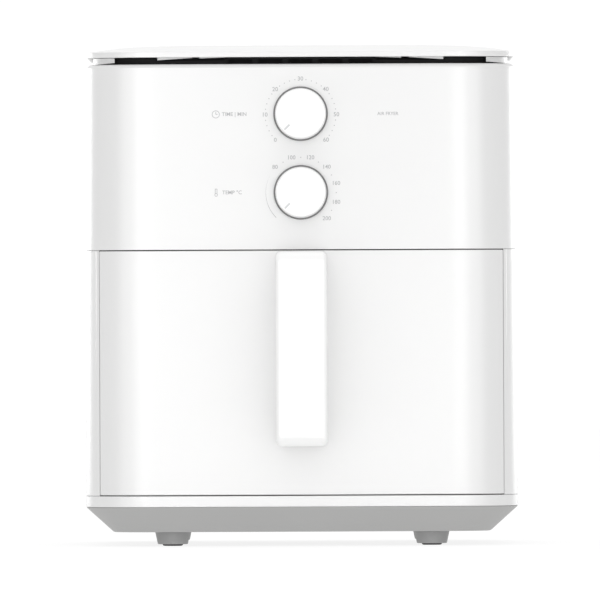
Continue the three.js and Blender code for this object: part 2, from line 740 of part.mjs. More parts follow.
// The bar and its two arms, drawn from the side and pulled across their width with rounded edges.
function handleShell() {
  const [low, high] = HANDLE_Z;
  const back = FRONT_Y - CLEARANCE;
  const gripBack = HANDLE_FRONT_Y + GRIP_DEPTH;
  const outer = 7;
  const inner = 9;
  const right = Math.PI / 2;
  const outline = new THREE.Shape([
    new THREE.Vector2(back, high),
    ...arc(HANDLE_FRONT_Y + outer, high - outer, outer, right, 2 * right, 5),
    ...arc(HANDLE_FRONT_Y + outer, low + outer, outer, 2 * right, 3 * right, 5),
    new THREE.Vector2(back, low),
    new THREE.Vector2(back, low + ARM_HEIGHT),
    ...arc(gripBack + inner, low + ARM_HEIGHT + inner, inner, 2 * right, 3 * right, 5).reverse(),
    ...arc(gripBack + inner, high - ARM_HEIGHT - inner, inner, right, 2 * right, 5).reverse(),
    new THREE.Vector2(back, high - ARM_HEIGHT),
  ]);
  const edge = 4;
  const bar = new THREE.ExtrudeGeometry(outline, {
    depth: HANDLE_WIDTH - 2 * edge,
    bevelThickness: edge,
    bevelSize: edge,
    bevelOffset: -edge,
    bevelSegments: 3,
  });
  bar.translate(0, 0, edge - HANDLE_WIDTH / 2).applyMatrix4(SIDEWAYS);
  const channel = block([-11, 11], [gripBack - 3, gripBack + 1], GRIP_COVER_Z);
  const bores = HANDLE_SCREW_Z.map((z) => peg(0, z, [back - 14, back + 1], SCREW_RADIUS + 0.4, 12));
  return cut(solid(bar), channel, ...bores);
}

function handleCover() {
  const gripBack = HANDLE_FRONT_Y + GRIP_DEPTH;
  const [low, high] = GRIP_COVER_Z;
  return block([-10.7, 10.7], [gripBack - 2.7, gripBack - 0.2], [low + 0.3, high - 0.3]);
}

// A pan-head screw lying along Y, with its head behind the drawer's face.
function handleScrew() {
  const seat = FRONT_Y + WALL + CLEARANCE;
  const shank = peg(0, 0, [FRONT_Y - 12, seat + 1], SCREW_RADIUS, 12);
  const head = peg(0, 0, [seat, seat + 2.6], 4, 16);
  const slots = block([-0.5, 0.5], [seat + 1.4, seat + 4], [-2.4, 2.4]);
  return cut(join(shank, head), slots, slots.rotate([0, 90, 0]));
}

// A hat-section plate that joins the pan to the drawer's inner panel.
function panBracket() {
  const front = DRAWER_BACK_Y + 2.6;
  const back = PAN_FRONT_Y - 0.6;
  const outline = [
    [-46, front], [46, front], [46, back - 1.5], [62, back - 1.5], [62, back], [44.5, back],
    [44.5, front + 1.5], [-44.5, front + 1.5], [-44.5, back], [-62, back], [-62, back - 1.5],
    [-46, back - 1.5],
  ];
  return slab(new THREE.Shape(outline.map(([x, y]) => new THREE.Vector2(x, y))), [78, 152]);
}

function pan() {
  const [low, high] = PAN_Z;
  const t = PAN_WALL;
  const outside = tub([[8, low], [5, low + 1], [3, low + 5], [0, high - t], [-PAN_RIM, high - t], [-PAN_RIM, high]]);
  const inside = tub([[8 + t, low + t], [5 + t, low + t + 1], [3 + t, low + t + 5], [t, high + 1]]);
  return cut(outside, inside);
}

// A perforated plate on four short legs.
function crisperPlate() {
  const z = [PLATE_Z, PLATE_Z + PLATE_THICKNESS];
  const plate = tub([[PLATE_INSET, z[0]], [PLATE_INSET, z[1]]]);
  const legs = [-1, 1].flatMap((sx) =>
    [-1, 1].map((sy) => post(sx * 78, PAN_MIDDLE + sy * 78, [PAN_Z[0] + PAN_WALL + 0.3, z[0] + 1], 4, 12)),
  );
  const slots = [];
  for (let row = -3; row <= 3; row += 1) {
    for (const column of [-1, 0, 1]) {
      const x = column * 60;
      const y = PAN_MIDDLE + row * 27;
      const half = row === 0 || column === 0 ? 22 : 18;
      slots.push(block([x - half, x + half], [y - 4, y + 4], [z[0] - 1, z[1] + 1]));
    }
  }
  return cut(join(plate, ...legs), ...slots);
}

// A soft clip pushed onto the plate's edge. It is drawn for the plate's right-hand edge.
function plateBumper(reach) {
  const edge = reach - PLATE_INSET;
  const body = block([edge - 4, edge + 3.6], [-8, 8], [PLATE_Z - 3, PLATE_Z + PLATE_THICKNESS + 3]);
  const groove = block(
    [edge - 6, edge + 0.4],
    [-9, 9],
    [PLATE_Z - 0.3, PLATE_Z + PLATE_THICKNESS + 0.3],
  );
  const upper = block([edge - 4, edge], [-9, 9], [PLATE_Z + PLATE_THICKNESS + 0.3, PLATE_Z + 9]);
  return cut(body, groove, upper);
}

// ---------------------------------------------------------------------------------------------
// Assembly
// ---------------------------------------------------------------------------------------------

const corners = [["front_left", -1, 0], ["front_right", 1, 0], ["rear_left", -1, 1], ["rear_right", 1, 1]];

const housing = group(
  [0, 0, 0],
  piece("top_cover", topCover(), WHITE_SHELL),
  piece("intake_grille", intakeGrille(), BLACK_PLASTIC),
  piece("upper_shell", upperShell(), WHITE_SHELL),
  piece("lower_shell", lowerShell(), WHITE_SHELL),
  piece("mid_frame", midFrame(), BLACK_PLASTIC),
  piece("base_ring", baseRing(), WHITE_SHELL),
  piece("base_cover", baseCover(), GREY_SHELL),
  piece("rear_vent_cover", rearVentCover(), WHITE_SHELL),
  piece("exhaust_duct", exhaustDuct(), GALVANISED),
  piece("cord_gland", cordGland(), BLACK_PLASTIC, [GLAND_X, BACK_Y, GLAND_Z]),
  piece("terminal_block", terminalBlock(), PHENOLIC, [GLAND_X, BACK_Y - WALL - 0.3, GLAND_Z + 28]),
  piece("chamber_liner", chamberLiner(), GALVANISED),
  piece("sensor_bulb", post(SENSOR_X, SENSOR_Y, SENSOR_BULB_Z, 2.4), STEEL),
  piece("sensor_tube", sensorTube(), COPPER),
);

for (const [corner, side, row] of corners) {
  const place = [side * FOOT_X, FOOT_Y[row], 0];
  housing.add(piece(`foot_${corner}`, foot(), FOOT_GREY, place));
  housing.add(piece(`foot_pad_${corner}`, footPad(), RUBBER, place));
}

const capTop = STACK_Z[1] + CLEARANCE + 10;
const fanUnit = group(
  [0, FAN_Y, 0],
  piece("heater_dome", heaterDome(), GALVANISED),
  piece("heating_element", heatingElement(), COIL_STEEL),
  piece("heater_guard", heaterGuard(), STEEL),
  piece("thermal_cutout", post(-62, -35, [DOME_TOP_Z + 0.3, DOME_TOP_Z + 7], 8, 20), PHENOLIC),
  piece("motor_bracket", motorBracket(), GALVANISED),
  piece("motor_stator", motorStator(), STEEL),
  piece("motor_coil", motorCoil(), COPPER),
  piece("motor_cap", motorCap(), GALVANISED),
  piece("bearing_lower", bush([BRIDGE_Z[0] - 2, STACK_Z[0] - 1]), COPPER),
  piece("bearing_upper", bush([capTop - 5, capTop + 2]), COPPER),
  piece("motor_shaft", post(0, 0, SHAFT_Z, SHAFT_RADIUS, 20), STEEL),
  piece("motor_rotor", ring(SHAFT_RADIUS + CLEARANCE, ROTOR_RADIUS, STACK_Z, 24), STEEL),
  piece("hot_air_fan", bladedFan(61, [213.5, 214.5], [200.5, 213.7], 10), STEEL),
  piece("cooling_fan", bladedFan(46, [229, 230.2], [230, 239], 8), BLACK_PLASTIC),
  piece("fan_nut", hexNut([195.5, 199.8]), STEEL),
);

const behindPanel = FRONT_Y + WALL + 0.4;
const controls = [["timer", TIMER_Z, 21, 24, 26], ["thermostat", THERMOSTAT_Z, 19, 17, 24]].map(
  ([name, z, halfWidth, halfHeight, depth]) =>
    group(
      [0, 0, z],
      piece(`${name}_body`, controlBody(halfWidth, halfHeight, depth), PHENOLIC, [0, behindPanel, 0]),
      piece(`${name}_shaft`, dialShaft(), STEEL, [0, FRONT_Y - KNOB_GAP + 4, 0]),
      piece(`${name}_knob`, knob(), WHITE_SHELL, [0, FRONT_Y - KNOB_GAP, 0]),
      piece(`${name}_ring`, dialRing(), DIAL_RING, [0, FRONT_Y - CLEARANCE, 0]),
    ),
);

const safetySwitch = group(
  [SWITCH_X, SWITCH_Y, 0],
  piece("switch_body", switchBody(), PHENOLIC),
  piece("switch_plunger", switchPlunger(), WHITE_SHELL),
);

const drawer = group(
  [0, 0, 0],
  piece("drawer_front", drawerFront(), WHITE_SHELL),
  piece("drawer_inner_panel", drawerInnerPanel(), WHITE_SHELL),
  piece("handle_shell", handleShell(), WHITE_SHELL),
  piece("handle_cover", handleCover(), WHITE_SHELL),
  piece("handle_screw_lower", handleScrew(), STEEL, [0, 0, HANDLE_SCREW_Z[0]]),
  piece("handle_screw_upper", handleScrew(), STEEL, [0, 0, HANDLE_SCREW_Z[1]]),
  piece("pan_bracket", panBracket(), GALVANISED),
  piece("pan", pan(), NON_STICK),
  piece("crisper_plate", crisperPlate(), NON_STICK),
);

const halfLength = (PAN_BACK_Y - PAN_FRONT_Y) / 2;
const edges = [["right", PAN_HALF_WIDTH], ["rear", halfLength], ["left", PAN_HALF_WIDTH], ["front", halfLength]];
edges.forEach(([edge, reach], quarter) => {
  const bumper = piece(`plate_bumper_${edge}`, plateBumper(reach), SILICONE, [0, PAN_MIDDLE, 0]);
  bumper.rotation.z = (quarter * Math.PI) / 2;
  drawer.add(bumper);
});

const airFryer = group([0, 0, 0], housing, fanUnit, ...controls, safetySwitch, drawer);

export default airFryer;
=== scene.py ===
"""The looks of a countertop air fryer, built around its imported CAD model.

Metres, +Z up, front towards -Y. The housing's pieces are stacks of outlines. An outline is the housing's plan
at a height, drawn in from its outer wall by an inset.
"""

import json
import math

import bmesh
import bpy
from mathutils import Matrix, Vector


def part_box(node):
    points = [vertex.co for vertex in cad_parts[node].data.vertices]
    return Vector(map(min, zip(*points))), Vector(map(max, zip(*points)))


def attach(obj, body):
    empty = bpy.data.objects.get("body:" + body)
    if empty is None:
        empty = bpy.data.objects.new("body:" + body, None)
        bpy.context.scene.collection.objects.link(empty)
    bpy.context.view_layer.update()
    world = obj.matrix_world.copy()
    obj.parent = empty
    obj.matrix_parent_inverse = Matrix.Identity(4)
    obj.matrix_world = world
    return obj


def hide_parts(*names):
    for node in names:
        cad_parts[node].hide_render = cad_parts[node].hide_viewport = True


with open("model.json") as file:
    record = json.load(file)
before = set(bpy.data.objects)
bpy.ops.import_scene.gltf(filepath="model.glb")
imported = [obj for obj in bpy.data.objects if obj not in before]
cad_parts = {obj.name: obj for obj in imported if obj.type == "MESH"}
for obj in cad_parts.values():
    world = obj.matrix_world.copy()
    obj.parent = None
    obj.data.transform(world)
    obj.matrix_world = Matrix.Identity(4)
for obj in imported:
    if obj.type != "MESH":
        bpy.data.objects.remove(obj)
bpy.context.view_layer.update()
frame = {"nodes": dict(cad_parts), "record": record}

MM = 0.001

# The housing's form. Its places come from the frame; these are its radii and thicknesses.
FRONT_CORNER = 46 * MM
BACK_CORNER = 38 * MM
CROWN = 2400 * MM  # the radius of the front, which is nearly flat
WALL = 2.5 * MM
CORNER_STEPS = 20
CROWN_STEPS = 24
LID_CROWN = 5 * MM  # the lid's top above its rim
LID_REACH = 109.06 * MM  # the inset of the lid's innermost outline
SLOT_HEIGHT = 4.6 * MM  # the air slot, between the housing's deck and the lid
COLLAR_INSET = 3.9 * MM  # the neck's outer face
COLLAR_INNER = 6.4 * MM  # the neck's inner face
WINDOW_HALF_WIDTH = 123.5 * MM  # the neck's opening at the front
BACK_WINDOW_HALF_WIDTH = 96 * MM  # and at the back
SLIT_HEIGHT = 1.2 * MM
SLIT_LENGTH = 15 * MM
DRAWER_GAP = 0.35 * MM

# The print. Angles are in degrees, anticlockwise from the right as seen from the front.
INK = 0.04 * MM  # its thickness
CAPITAL_SHARE = 0.69  # how much of a font's size its capitals fill
DIAL_START = 225  # where both pointers rest
DOT_PLACE = 23.5 * MM  # from the dial's axis
DOT_RADIUS = 0.34 * MM

BAND_LOW, BAND_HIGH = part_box("base_ring")
LID_LOW, LID_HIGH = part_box("top_cover")
SHELL_LOW, SHELL_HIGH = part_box("upper_shell")
LOWER_LOW, LOWER_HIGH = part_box("lower_shell")
DRAWER_LOW, DRAWER_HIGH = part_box("drawer_front")
COVER_LOW, COVER_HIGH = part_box("base_cover")

FRONT_Y = LID_LOW.y
BACK_Y = LID_HIGH.y
BASE_HALF_WIDTH = BAND_HIGH.x
TOP_HALF_WIDTH = LID_HIGH.x
LID_Z = SHELL_HIGH.z + 0.3 * MM
LID_RIM_Z = LID_HIGH.z - LID_CROWN
DECK_Z = LID_Z - SLOT_HEIGHT

# The studio light, as radiance.
SIDE_LIGHT = 0.1
AHEAD_LIGHT = 1.3
BEHIND_LIGHT = 0.72
TOP_LIGHT = 1.25
EYE_LINE_LIGHT = 1.05
FLOOR_GLOW = 0.8
FLOOR_COLOUR = 0.17

# Cards that show only as a soft sheen: azimuth in degrees, distance, size, radiance and height.
CARD_HEIGHT = 0.25
CARDS = {
    "strip_left": (-10, 3.1, (0.65, 1.0), 7.2, CARD_HEIGHT),
    "strip_middle": (1.5, 3.1, (0.6, 1.0), 1.5, CARD_HEIGHT),
    "strip_right": (12.5, 3.1, (0.6, 1.0), 5.0, CARD_HEIGHT),
    "sheen_left": (-26, 3.2, (1.1, 1.0), 9.0, CARD_HEIGHT),
    "sheen_right": (27, 3.2, (1.0, 1.0), 7.0, CARD_HEIGHT),
    "sheen_far_left": (-48, 3.2, (1.3, 1.0), 3.8, CARD_HEIGHT),
    "sheen_far_right": (48, 3.2, (1.3, 1.0), 3.8, CARD_HEIGHT),
    "rim_left": (-146, 3.1, (1.3, 1.0), 2.7, CARD_HEIGHT),
    "rim_right": (146, 3.1, (1.3, 1.0), 2.7, CARD_HEIGHT),
    "low_front": (0, 1.2, (1.1, 0.12), 5.0, 0.06),
}

# The camera: a long lens, level with the middle of the housing and square to its front.
PICTURE_WIDTH = 0.399
LENS = 1200  # millimetres, as Blender has it
SENSOR = 36  # millimetres
FOCUS_Y = -0.11
CAMERA_X = -0.0009
CAMERA_Z = 0.1634
CAMERA_ROLL = 0.25  # degrees


def middle_height(name):
    """The height of a CAD node's middle."""
    low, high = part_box(name)
    return (low.z + high.z) / 2


DIAL_HEIGHTS = {dial: middle_height(f"{dial}_knob") for dial in ("timer", "thermostat")}


# ---------------------------------------------------------------------------------------------
# Mesh tools
# ---------------------------------------------------------------------------------------------


def linked(name, data):
    """A new object in the scene for a mesh, a curve, a light or a camera."""
    obj = bpy.data.objects.new(name, data)
    bpy.context.scene.collection.objects.link(obj)
    return obj


def new_object(name, verts, faces):
    """A new mesh object from points, and from faces that name them by number."""
    mesh = bpy.data.meshes.new(name)
    mesh.from_pydata([tuple(v) for v in verts], [], faces)
    mesh.validate()
    return linked(name, mesh)


def apply_modifiers(obj):
    """Turns what the object's modifiers make of it into its own mesh."""
    depsgraph = bpy.context.evaluated_depsgraph_get()
    mesh = bpy.data.meshes.new_from_object(obj.evaluated_get(depsgraph))
    obj.modifiers.clear()
    obj.data = mesh
    return obj


def smooth(obj, sharp_degrees=32):
    """Smooth shading, with faces that meet at more than the angle kept crisp."""
    outward(obj)
    obj.data.shade_smooth()
    obj.data.set_sharp_from_angle(angle=math.radians(sharp_degrees))
    weighted = obj.modifiers.new("weighted", "WEIGHTED_NORMAL")
    weighted.keep_sharp = True
    return apply_modifiers(obj)


def outward(obj):
    """Merges doubled points, and turns every face outwards."""
    mesh = bmesh.new()
    mesh.from_mesh(obj.data)
    bmesh.ops.remove_doubles(mesh, verts=mesh.verts, dist=1e-6)
    bmesh.ops.recalc_face_normals(mesh, faces=mesh.faces)
    mesh.to_mesh(obj.data)
    mesh.free()


def grid_faces(rows, count, around, along=False):
    """Quads between rows of points; around closes each row on itself, and along joins last row to first."""
    faces = []
    for row in range(rows if along else rows - 1):
        for i in range(count if around else count - 1):
            a = row * count + i
            b = row * count + (i + 1) % count
            c = ((row + 1) % rows) * count + (i + 1) % count
            d = ((row + 1) % rows) * count + i
            faces.append((a, b, c, d))
    return faces


def stacked(name, loops):
    """A closed body through a stack of closed loops of points, with a face over each end."""
    count = len(loops[0])
    faces = grid_faces(len(loops), count, around=True)
    faces.append(tuple(range(count))[::-1])
    faces.append(tuple((len(loops) - 1) * count + i for i in range(count)))
    return new_object(name, [p for loop in loops for p in loop], faces)


def ring_body(name, loops):
    """A closed body like a tyre: the last loop of points joins the first."""
    faces = grid_faces(len(loops), len(loops[0]), around=True, along=True)
    return new_object(name, [p for loop in loops for p in loop], faces)


def joined(name, *objects):
    """One object that holds the meshes of several, each still a closed body of its own."""
    for obj in objects:
        outward(obj)
    target = objects[0]
    mesh = bmesh.new()
    for obj in objects:
        mesh.from_mesh(obj.data)
    mesh.to_mesh(target.data)
    mesh.free()
    for obj in objects[1:]:
        bpy.data.objects.remove(obj)
    target.name = name
    target.data.name = name
    return target


def carved(obj, *tools):
    """Cuts tools out of a body, and deletes the tools."""
    cutter = joined("cutter", *tools)
    boolean = obj.modifiers.new("cut", "BOOLEAN")
    boolean.object = cutter
    boolean.solver = "EXACT"
    apply_modifiers(obj)
    bpy.data.objects.remove(cutter)
    return obj


def rounded(obj, width, segments, angle=40):
    """Rounds every edge sharper than the angle, in degrees."""
    outward(obj)
    bevel = obj.modifiers.new("round", "BEVEL")
    bevel.width = width
    bevel.segments = segments
    bevel.limit_method = "ANGLE"
    bevel.angle_limit = math.radians(angle)
    return apply_modifiers(obj)


def block(name, low, high):
    """A box between two corners."""
    xs, ys, zs = zip(low, high)
    verts = [(x, y, z) for z in zs for y in ys for x in xs]
    faces = [(0, 2, 3, 1), (4, 5, 7, 6), (0, 1, 5, 4), (2, 6, 7, 3), (0, 4, 6, 2), (1, 3, 7, 5)]
    return new_object(name, verts, faces)


def turned(name, profile, centre, facing, sides):
    """A body of revolution from (radius, height) points, with its top facing up or to the front.

    A profile that ends where it starts makes a ring.
    """
    turn = {
        "up": lambda r, h, a: (r * math.cos(a), r * math.sin(a), h),
        "front": lambda r, h, a: (r * math.cos(a), -h, r * math.sin(a)),
    }[facing]
    least = 0.01 * MM  # keeps the points on the axis apart
    angles = [2 * math.pi * i / sides for i in range(sides)]
    loops = [[Vector(turn(max(r, least), h, a)) + Vector(centre) for a in angles] for r, h in profile]
    if profile[0] == profile[-1]:
        return ring_body(name, loops[:-1])
    return stacked(name, loops)


def arc(x, y, radius, start, end, steps):
    """Points round a centre, from one angle to another in radians."""
    angles = [start + (end - start) * i / steps for i in range(steps + 1)]
    return [(x + radius * math.cos(angle), y + radius * math.sin(angle)) for angle in angles]


def fillet(centre, radius, start, end, steps):
    """The points of a section's rounded edge, from one angle to another in degrees."""
    return arc(*centre, radius, math.radians(start), math.radians(end), steps)


# ---------------------------------------------------------------------------------------------
# The housing's outline
# ---------------------------------------------------------------------------------------------


def half_width(z):
    """Half the housing's width at a height: it narrows evenly from its base to the deck."""
    share = (z - BAND_HIGH.z) / (DECK_Z - BAND_HIGH.z)
    return BASE_HALF_WIDTH + (TOP_HALF_WIDTH - BASE_HALF_WIDTH) * min(max(share, 0), 1)


def shape_at(inset, z, eased=False):
    """The sizes of the outline at a height. Eased corners stay round as the inset grows."""
    half = half_width(z) - inset
    keep = 1 - inset / TOP_HALF_WIDTH
    corner = FRONT_CORNER * keep if eased else max(FRONT_CORNER - inset, MM)
    back_corner = BACK_CORNER * keep if eased else max(BACK_CORNER - inset, MM)
    crown = CROWN - inset
    sweep = math.asin((half - corner) / (crown - corner))
    corner_y = FRONT_Y + inset + crown - math.sqrt((crown - corner) ** 2 - (half - corner) ** 2)
    return half, corner, back_corner, crown, sweep, corner_y


def outline(inset, z, eased=False):
    """The whole outline as points, anticlockwise from the left end of the front's crown."""
    half, corner, back_corner, crown, sweep, corner_y = shape_at(inset, z, eased)
    right = math.pi / 2
    back = BACK_Y - inset
    flat = [
        *arc(0, FRONT_Y + inset + crown, crown, -right - sweep, -right + sweep, CROWN_STEPS)[:-1],
        *arc(half - corner, corner_y, corner, -right + sweep, 0, CORNER_STEPS),
        *arc(half - back_corner, back - back_corner, back_corner, 0, right, CORNER_STEPS),
        *arc(back_corner - half, back - back_corner, back_corner, right, 2 * right, CORNER_STEPS),
        *arc(corner - half, corner_y, corner, 2 * right, 3 * right - sweep, CORNER_STEPS)[:-1],
    ]
    return [Vector((x, y, z)) for x, y in flat]


def front_y(x, inset, z):
    """Where the front of the outline is at a distance from the middle."""
    half, corner, _, crown, sweep, corner_y = shape_at(inset, z)
    if abs(x) <= crown * math.sin(sweep):
        return FRONT_Y + inset + crown - math.sqrt(crown**2 - x**2)
    return corner_y - math.sqrt(max(corner**2 - (abs(x) - (half - corner)) ** 2, 0))


def front_stretch(inset, z, limit):
    """The outline's front from -limit to limit, as points."""
    half, corner, _, crown, sweep, _ = shape_at(inset, z)
    tangent = crown * math.sin(sweep)
    start = math.asin(min((limit - (half - corner)) / corner, 1))
    steps = 16
    bend = [
        (half - corner) + corner * math.sin(sweep + (start - sweep) * i / steps) for i in range(1, steps + 1)
    ]
    middle = [tangent * (2 * i / CROWN_STEPS - 1) for i in range(CROWN_STEPS + 1)]
    xs = [-x for x in reversed(bend)] + middle + bend
    return [Vector((x, front_y(x, inset, z), z)) for x in xs]


def rear_stretch(inset, z, limit, corner_steps=16):
    """The outline from the front's right limit round the back to its left limit."""
    half, corner, back_corner, _, _, corner_y = shape_at(inset, z)
    right = math.pi / 2
    start = -right + math.asin(min((limit - (half - corner)) / corner, 1))
    back = BACK_Y - inset
    flat = [
        *arc(half - corner, corner_y, corner, start, 0, corner_steps),
        *arc(half - back_corner, back - back_corner, back_corner, 0, right, corner_steps),
        *arc(back_corner - half, back - back_corner, back_corner, right, 2 * right, corner_steps),
        *arc(corner - half, corner_y, corner, 2 * right, 2 * right - start, corner_steps),
    ]
    return [Vector((x, y, z)) for x, y in flat]


def lofted(name, layers, eased=False):
    """A closed body through whole outlines, one for each (inset, height) layer."""
    return stacked(name, [outline(inset, z, eased) for inset, z in layers])


def hooped(name, section):
    """A closed section of (inset, height) points drawn along the whole outline."""
    return ring_body(name, [outline(inset, z) for inset, z in section])


def banded(name, section, limit):
    """A closed section of (inset, height) points drawn round the back, between the limits of the front."""
    lines = [rear_stretch(inset, z, limit) for inset, z in section]
    return stacked(name, list(zip(*lines)))


# ---------------------------------------------------------------------------------------------
# Materials
# ---------------------------------------------------------------------------------------------


def node(tree, kind, **inputs):
    """A new shader node with its inputs set, or linked where a socket is given."""
    made = tree.nodes.new(kind)
    for key, value in inputs.items():
        target = made.inputs[key.replace("_", " ")]
        if isinstance(value, bpy.types.NodeSocket):
            tree.links.new(value, target)
        else:
            target.default_value = value
    return made


def grain(tree, scale, detail=4.0, stretch=(1, 1, 1)):
    """Noise over the object's own coordinates."""
    place = tree.nodes.new("ShaderNodeTexCoord").outputs["Object"]
    mapping = node(tree, "ShaderNodeMapping", Vector=place, Scale=stretch)
    noise = node(tree, "ShaderNodeTexNoise", Vector=mapping.outputs["Vector"], Scale=scale, Detail=detail)
    return noise.outputs["Fac"]


def ranged(tree, value, low, high):
    """A value from 0 to 1, stretched to run from low to high."""
    mapped = node(tree, "ShaderNodeMapRange", Value=value, To_Min=low, To_Max=high)
    return mapped.outputs["Result"]


def tinted(tree, colour, value, spread):
    """The colour, a little lighter and darker from place to place."""
    mix = tree.nodes.new("ShaderNodeMix")
    mix.data_type = "RGBA"
    tree.links.new(value, mix.inputs["Factor"])
    mix.inputs["A"].default_value = (*[c * (1 - spread) for c in colour], 1)
    mix.inputs["B"].default_value = (*[min(c * (1 + spread), 1) for c in colour], 1)
    return mix.outputs["Result"]


def bumped(tree, height, distance):
    """A surface normal that follows a height from 0 to 1, over a distance."""
    bump = node(tree, "ShaderNodeBump", Height=height, Strength=1.0, Distance=distance)
    return bump.outputs["Normal"]


def math_node(tree, operation, *values):
    """The result of a sum on numbers or sockets."""
    made = tree.nodes.new("ShaderNodeMath")
    made.operation = operation
    for socket, value in zip(made.inputs, values):
        if isinstance(value, bpy.types.NodeSocket):
            tree.links.new(value, socket)
        else:
            socket.default_value = value
    return made.outputs[0]


def surface(
    name, colour, roughness, metallic=0.0, spread=0.02, grain_scale=900, bump=0.02 * MM, stretch=(1, 1, 1),
    rough_spread=0.06, specular=0.5,
):
    """A material whose colour and roughness drift over the piece, with a fine grain in its surface."""
    material = bpy.data.materials.new(name)
    material.use_nodes = True
    tree = material.node_tree
    shader = tree.nodes["Principled BSDF"]
    fine = grain(tree, grain_scale, stretch=stretch)
    broad = grain(tree, 14, detail=3)
    rough = ranged(tree, broad, roughness - rough_spread, roughness + rough_spread)
    tree.links.new(tinted(tree, colour, broad, spread), shader.inputs["Base Color"])
    tree.links.new(rough, shader.inputs["Roughness"])
    tree.links.new(bumped(tree, fine, bump), shader.inputs["Normal"])
    shader.inputs["Metallic"].default_value = metallic
    shader.inputs["Specular IOR Level"].default_value = specular
    return material


SMOOTH_WHITE = {"roughness": 0.3, "spread": 0.004, "rough_spread": 0.02, "bump": 0.004 * MM}
FINISHES = {
    "white_shell": {"colour": (0.755, 0.755, 0.753), "grain_scale": 700, **SMOOTH_WHITE},
    "dial_white": {"colour": (0.9, 0.9, 0.898), "grain_scale": 900, **SMOOTH_WHITE},
    "grey_base": {"colour": (0.4, 0.4, 0.396), "roughness": 0.5, "spread": 0.03, "grain_scale": 1500},
    "foot_grey": {
        "colour": (0.3, 0.3, 0.3), "roughness": 0.55, "spread": 0.04, "grain_scale": 1500, "bump": 0.03 * MM,
    },
    "black_plastic": {"colour": (0.004, 0.004, 0.0043), "roughness": 0.7, "spread": 0.1, "specular": 0.12},
    "foot_rubber": {"colour": (0.02, 0.02, 0.02), "roughness": 0.8, "spread": 0.15, "bump": 0.05 * MM},
    "silicone": {"colour": (0.03, 0.03, 0.032), "roughness": 0.6, "spread": 0.1},
    "dial_ring": {"colour": (0.15, 0.15, 0.152), "roughness": 0.45, "spread": 0.05},
    "steel": {
        "colour": (0.56, 0.57, 0.58), "roughness": 0.3, "metallic": 1, "grain_scale": 500, "bump": 0.01 * MM,
    },
    "galvanised_sheet": {
        "colour": (0.5, 0.52, 0.53), "roughness": 0.38, "metallic": 1, "spread": 0.12, "grain_scale": 160,
    },
    "laminations": {
        "colour": (0.3, 0.31, 0.32), "roughness": 0.45, "metallic": 0.9, "grain_scale": 60,
        "stretch": (0.1, 0.1, 40), "bump": 0.1 * MM,
    },
    "fan_aluminium": {"colour": (0.7, 0.71, 0.72), "roughness": 0.35, "metallic": 1, "grain_scale": 400},
    "coil_steel": {"colour": (0.16, 0.14, 0.12), "roughness": 0.5, "metallic": 0.8, "spread": 0.25},
    "copper": {"colour": (0.55, 0.25, 0.1), "roughness": 0.35, "metallic": 0.9, "spread": 0.1},
    "bronze": {"colour": (0.5, 0.34, 0.16), "roughness": 0.45, "metallic": 0.9, "spread": 0.1},
    "phenolic": {"colour": (0.05, 0.04, 0.035), "roughness": 0.5, "spread": 0.1},
    "non_stick": {
        "colour": (0.028, 0.028, 0.031), "roughness": 0.42, "spread": 0.15, "grain_scale": 1800,
        "bump": 0.03 * MM,
    },
    "print_grey": {"colour": (0.4, 0.4, 0.41), "roughness": 0.5},
    "pointer_grey": {"colour": (0.6, 0.6, 0.61), "roughness": 0.5},
}
MATERIALS = {name: surface(name, **finish) for name, finish in FINISHES.items()}
NODE_SLOT = {row["node"]: row["material_slot"] for row in frame["record"]["subparts"]}
BODY_OF = {name: body for body, names in frame["record"]["behaviour"]["bodies"].items() for name in names}


def finish_piece(obj, nodes, material=None):
    """Gives a new piece its finish, and lets it stand for the CAD nodes that it replaces."""
    first = nodes[0]
    slot = NODE_SLOT[first]
    obj.data.materials.clear()
    obj.data.materials.append(MATERIALS[material or slot])
    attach(obj, BODY_OF[first])
    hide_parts(*nodes)
    return obj


def refined(name, width):
    """A piece with a CAD node's form, its facets smoothed and its edges softened by the width.

    With a width of 0 its edges stay as they are.
    """
    mesh = bmesh.new()
    mesh.from_mesh(frame["nodes"][name].data)
    bmesh.ops.remove_doubles(mesh, verts=mesh.verts, dist=2e-6)
    if width:
        bmesh.ops.dissolve_limit(
            mesh, angle_limit=math.radians(0.5), verts=mesh.verts, edges=mesh.edges, delimit={"NORMAL"}
        )
    data = bpy.data.meshes.new(f"{name}_look")
    mesh.to_mesh(data)
    mesh.free()
    piece = linked(f"{name}_look", data)
    if width:
        rounded(piece, width, 2, 36)
    return finish_piece(smooth(piece), [name])


# ---------------------------------------------------------------------------------------------
# Housing pieces
# ---------------------------------------------------------------------------------------------


# Wedges under the lid's front edge: the (x, depth) of the thin end and of the thick end, in millimetres.
LID_WEDGES = [((72, 0.4), (95, 1.8)), ((49, 0.05), (67, 0.75))]


def lid_height(inset):
    """The lid's top: it rises fast from the rim, and is nearly flat in the middle."""
    rise = 1 - (1 - inset / TOP_HALF_WIDTH) ** 6
    return LID_RIM_Z + LID_CROWN * rise


def lid_wedge(side, thin, thick):
    """A wedge under the lid's front edge, between the (x, depth) of its thin end and of its thick one."""
    sunk = 0.5  # how far it reaches up into the lid
    front = FRONT_Y + 8.2 * MM
    corners = [(thin[0], sunk), (thin[0], -thin[1]), (thick[0], -thick[1]), (thick[0], sunk)]
    loops = [
        [Vector((side * x * MM, y, LID_Z + z * MM)) for x, z in corners] for y in (front, front + 2 * MM)
    ]
    return stacked("wedge", loops)


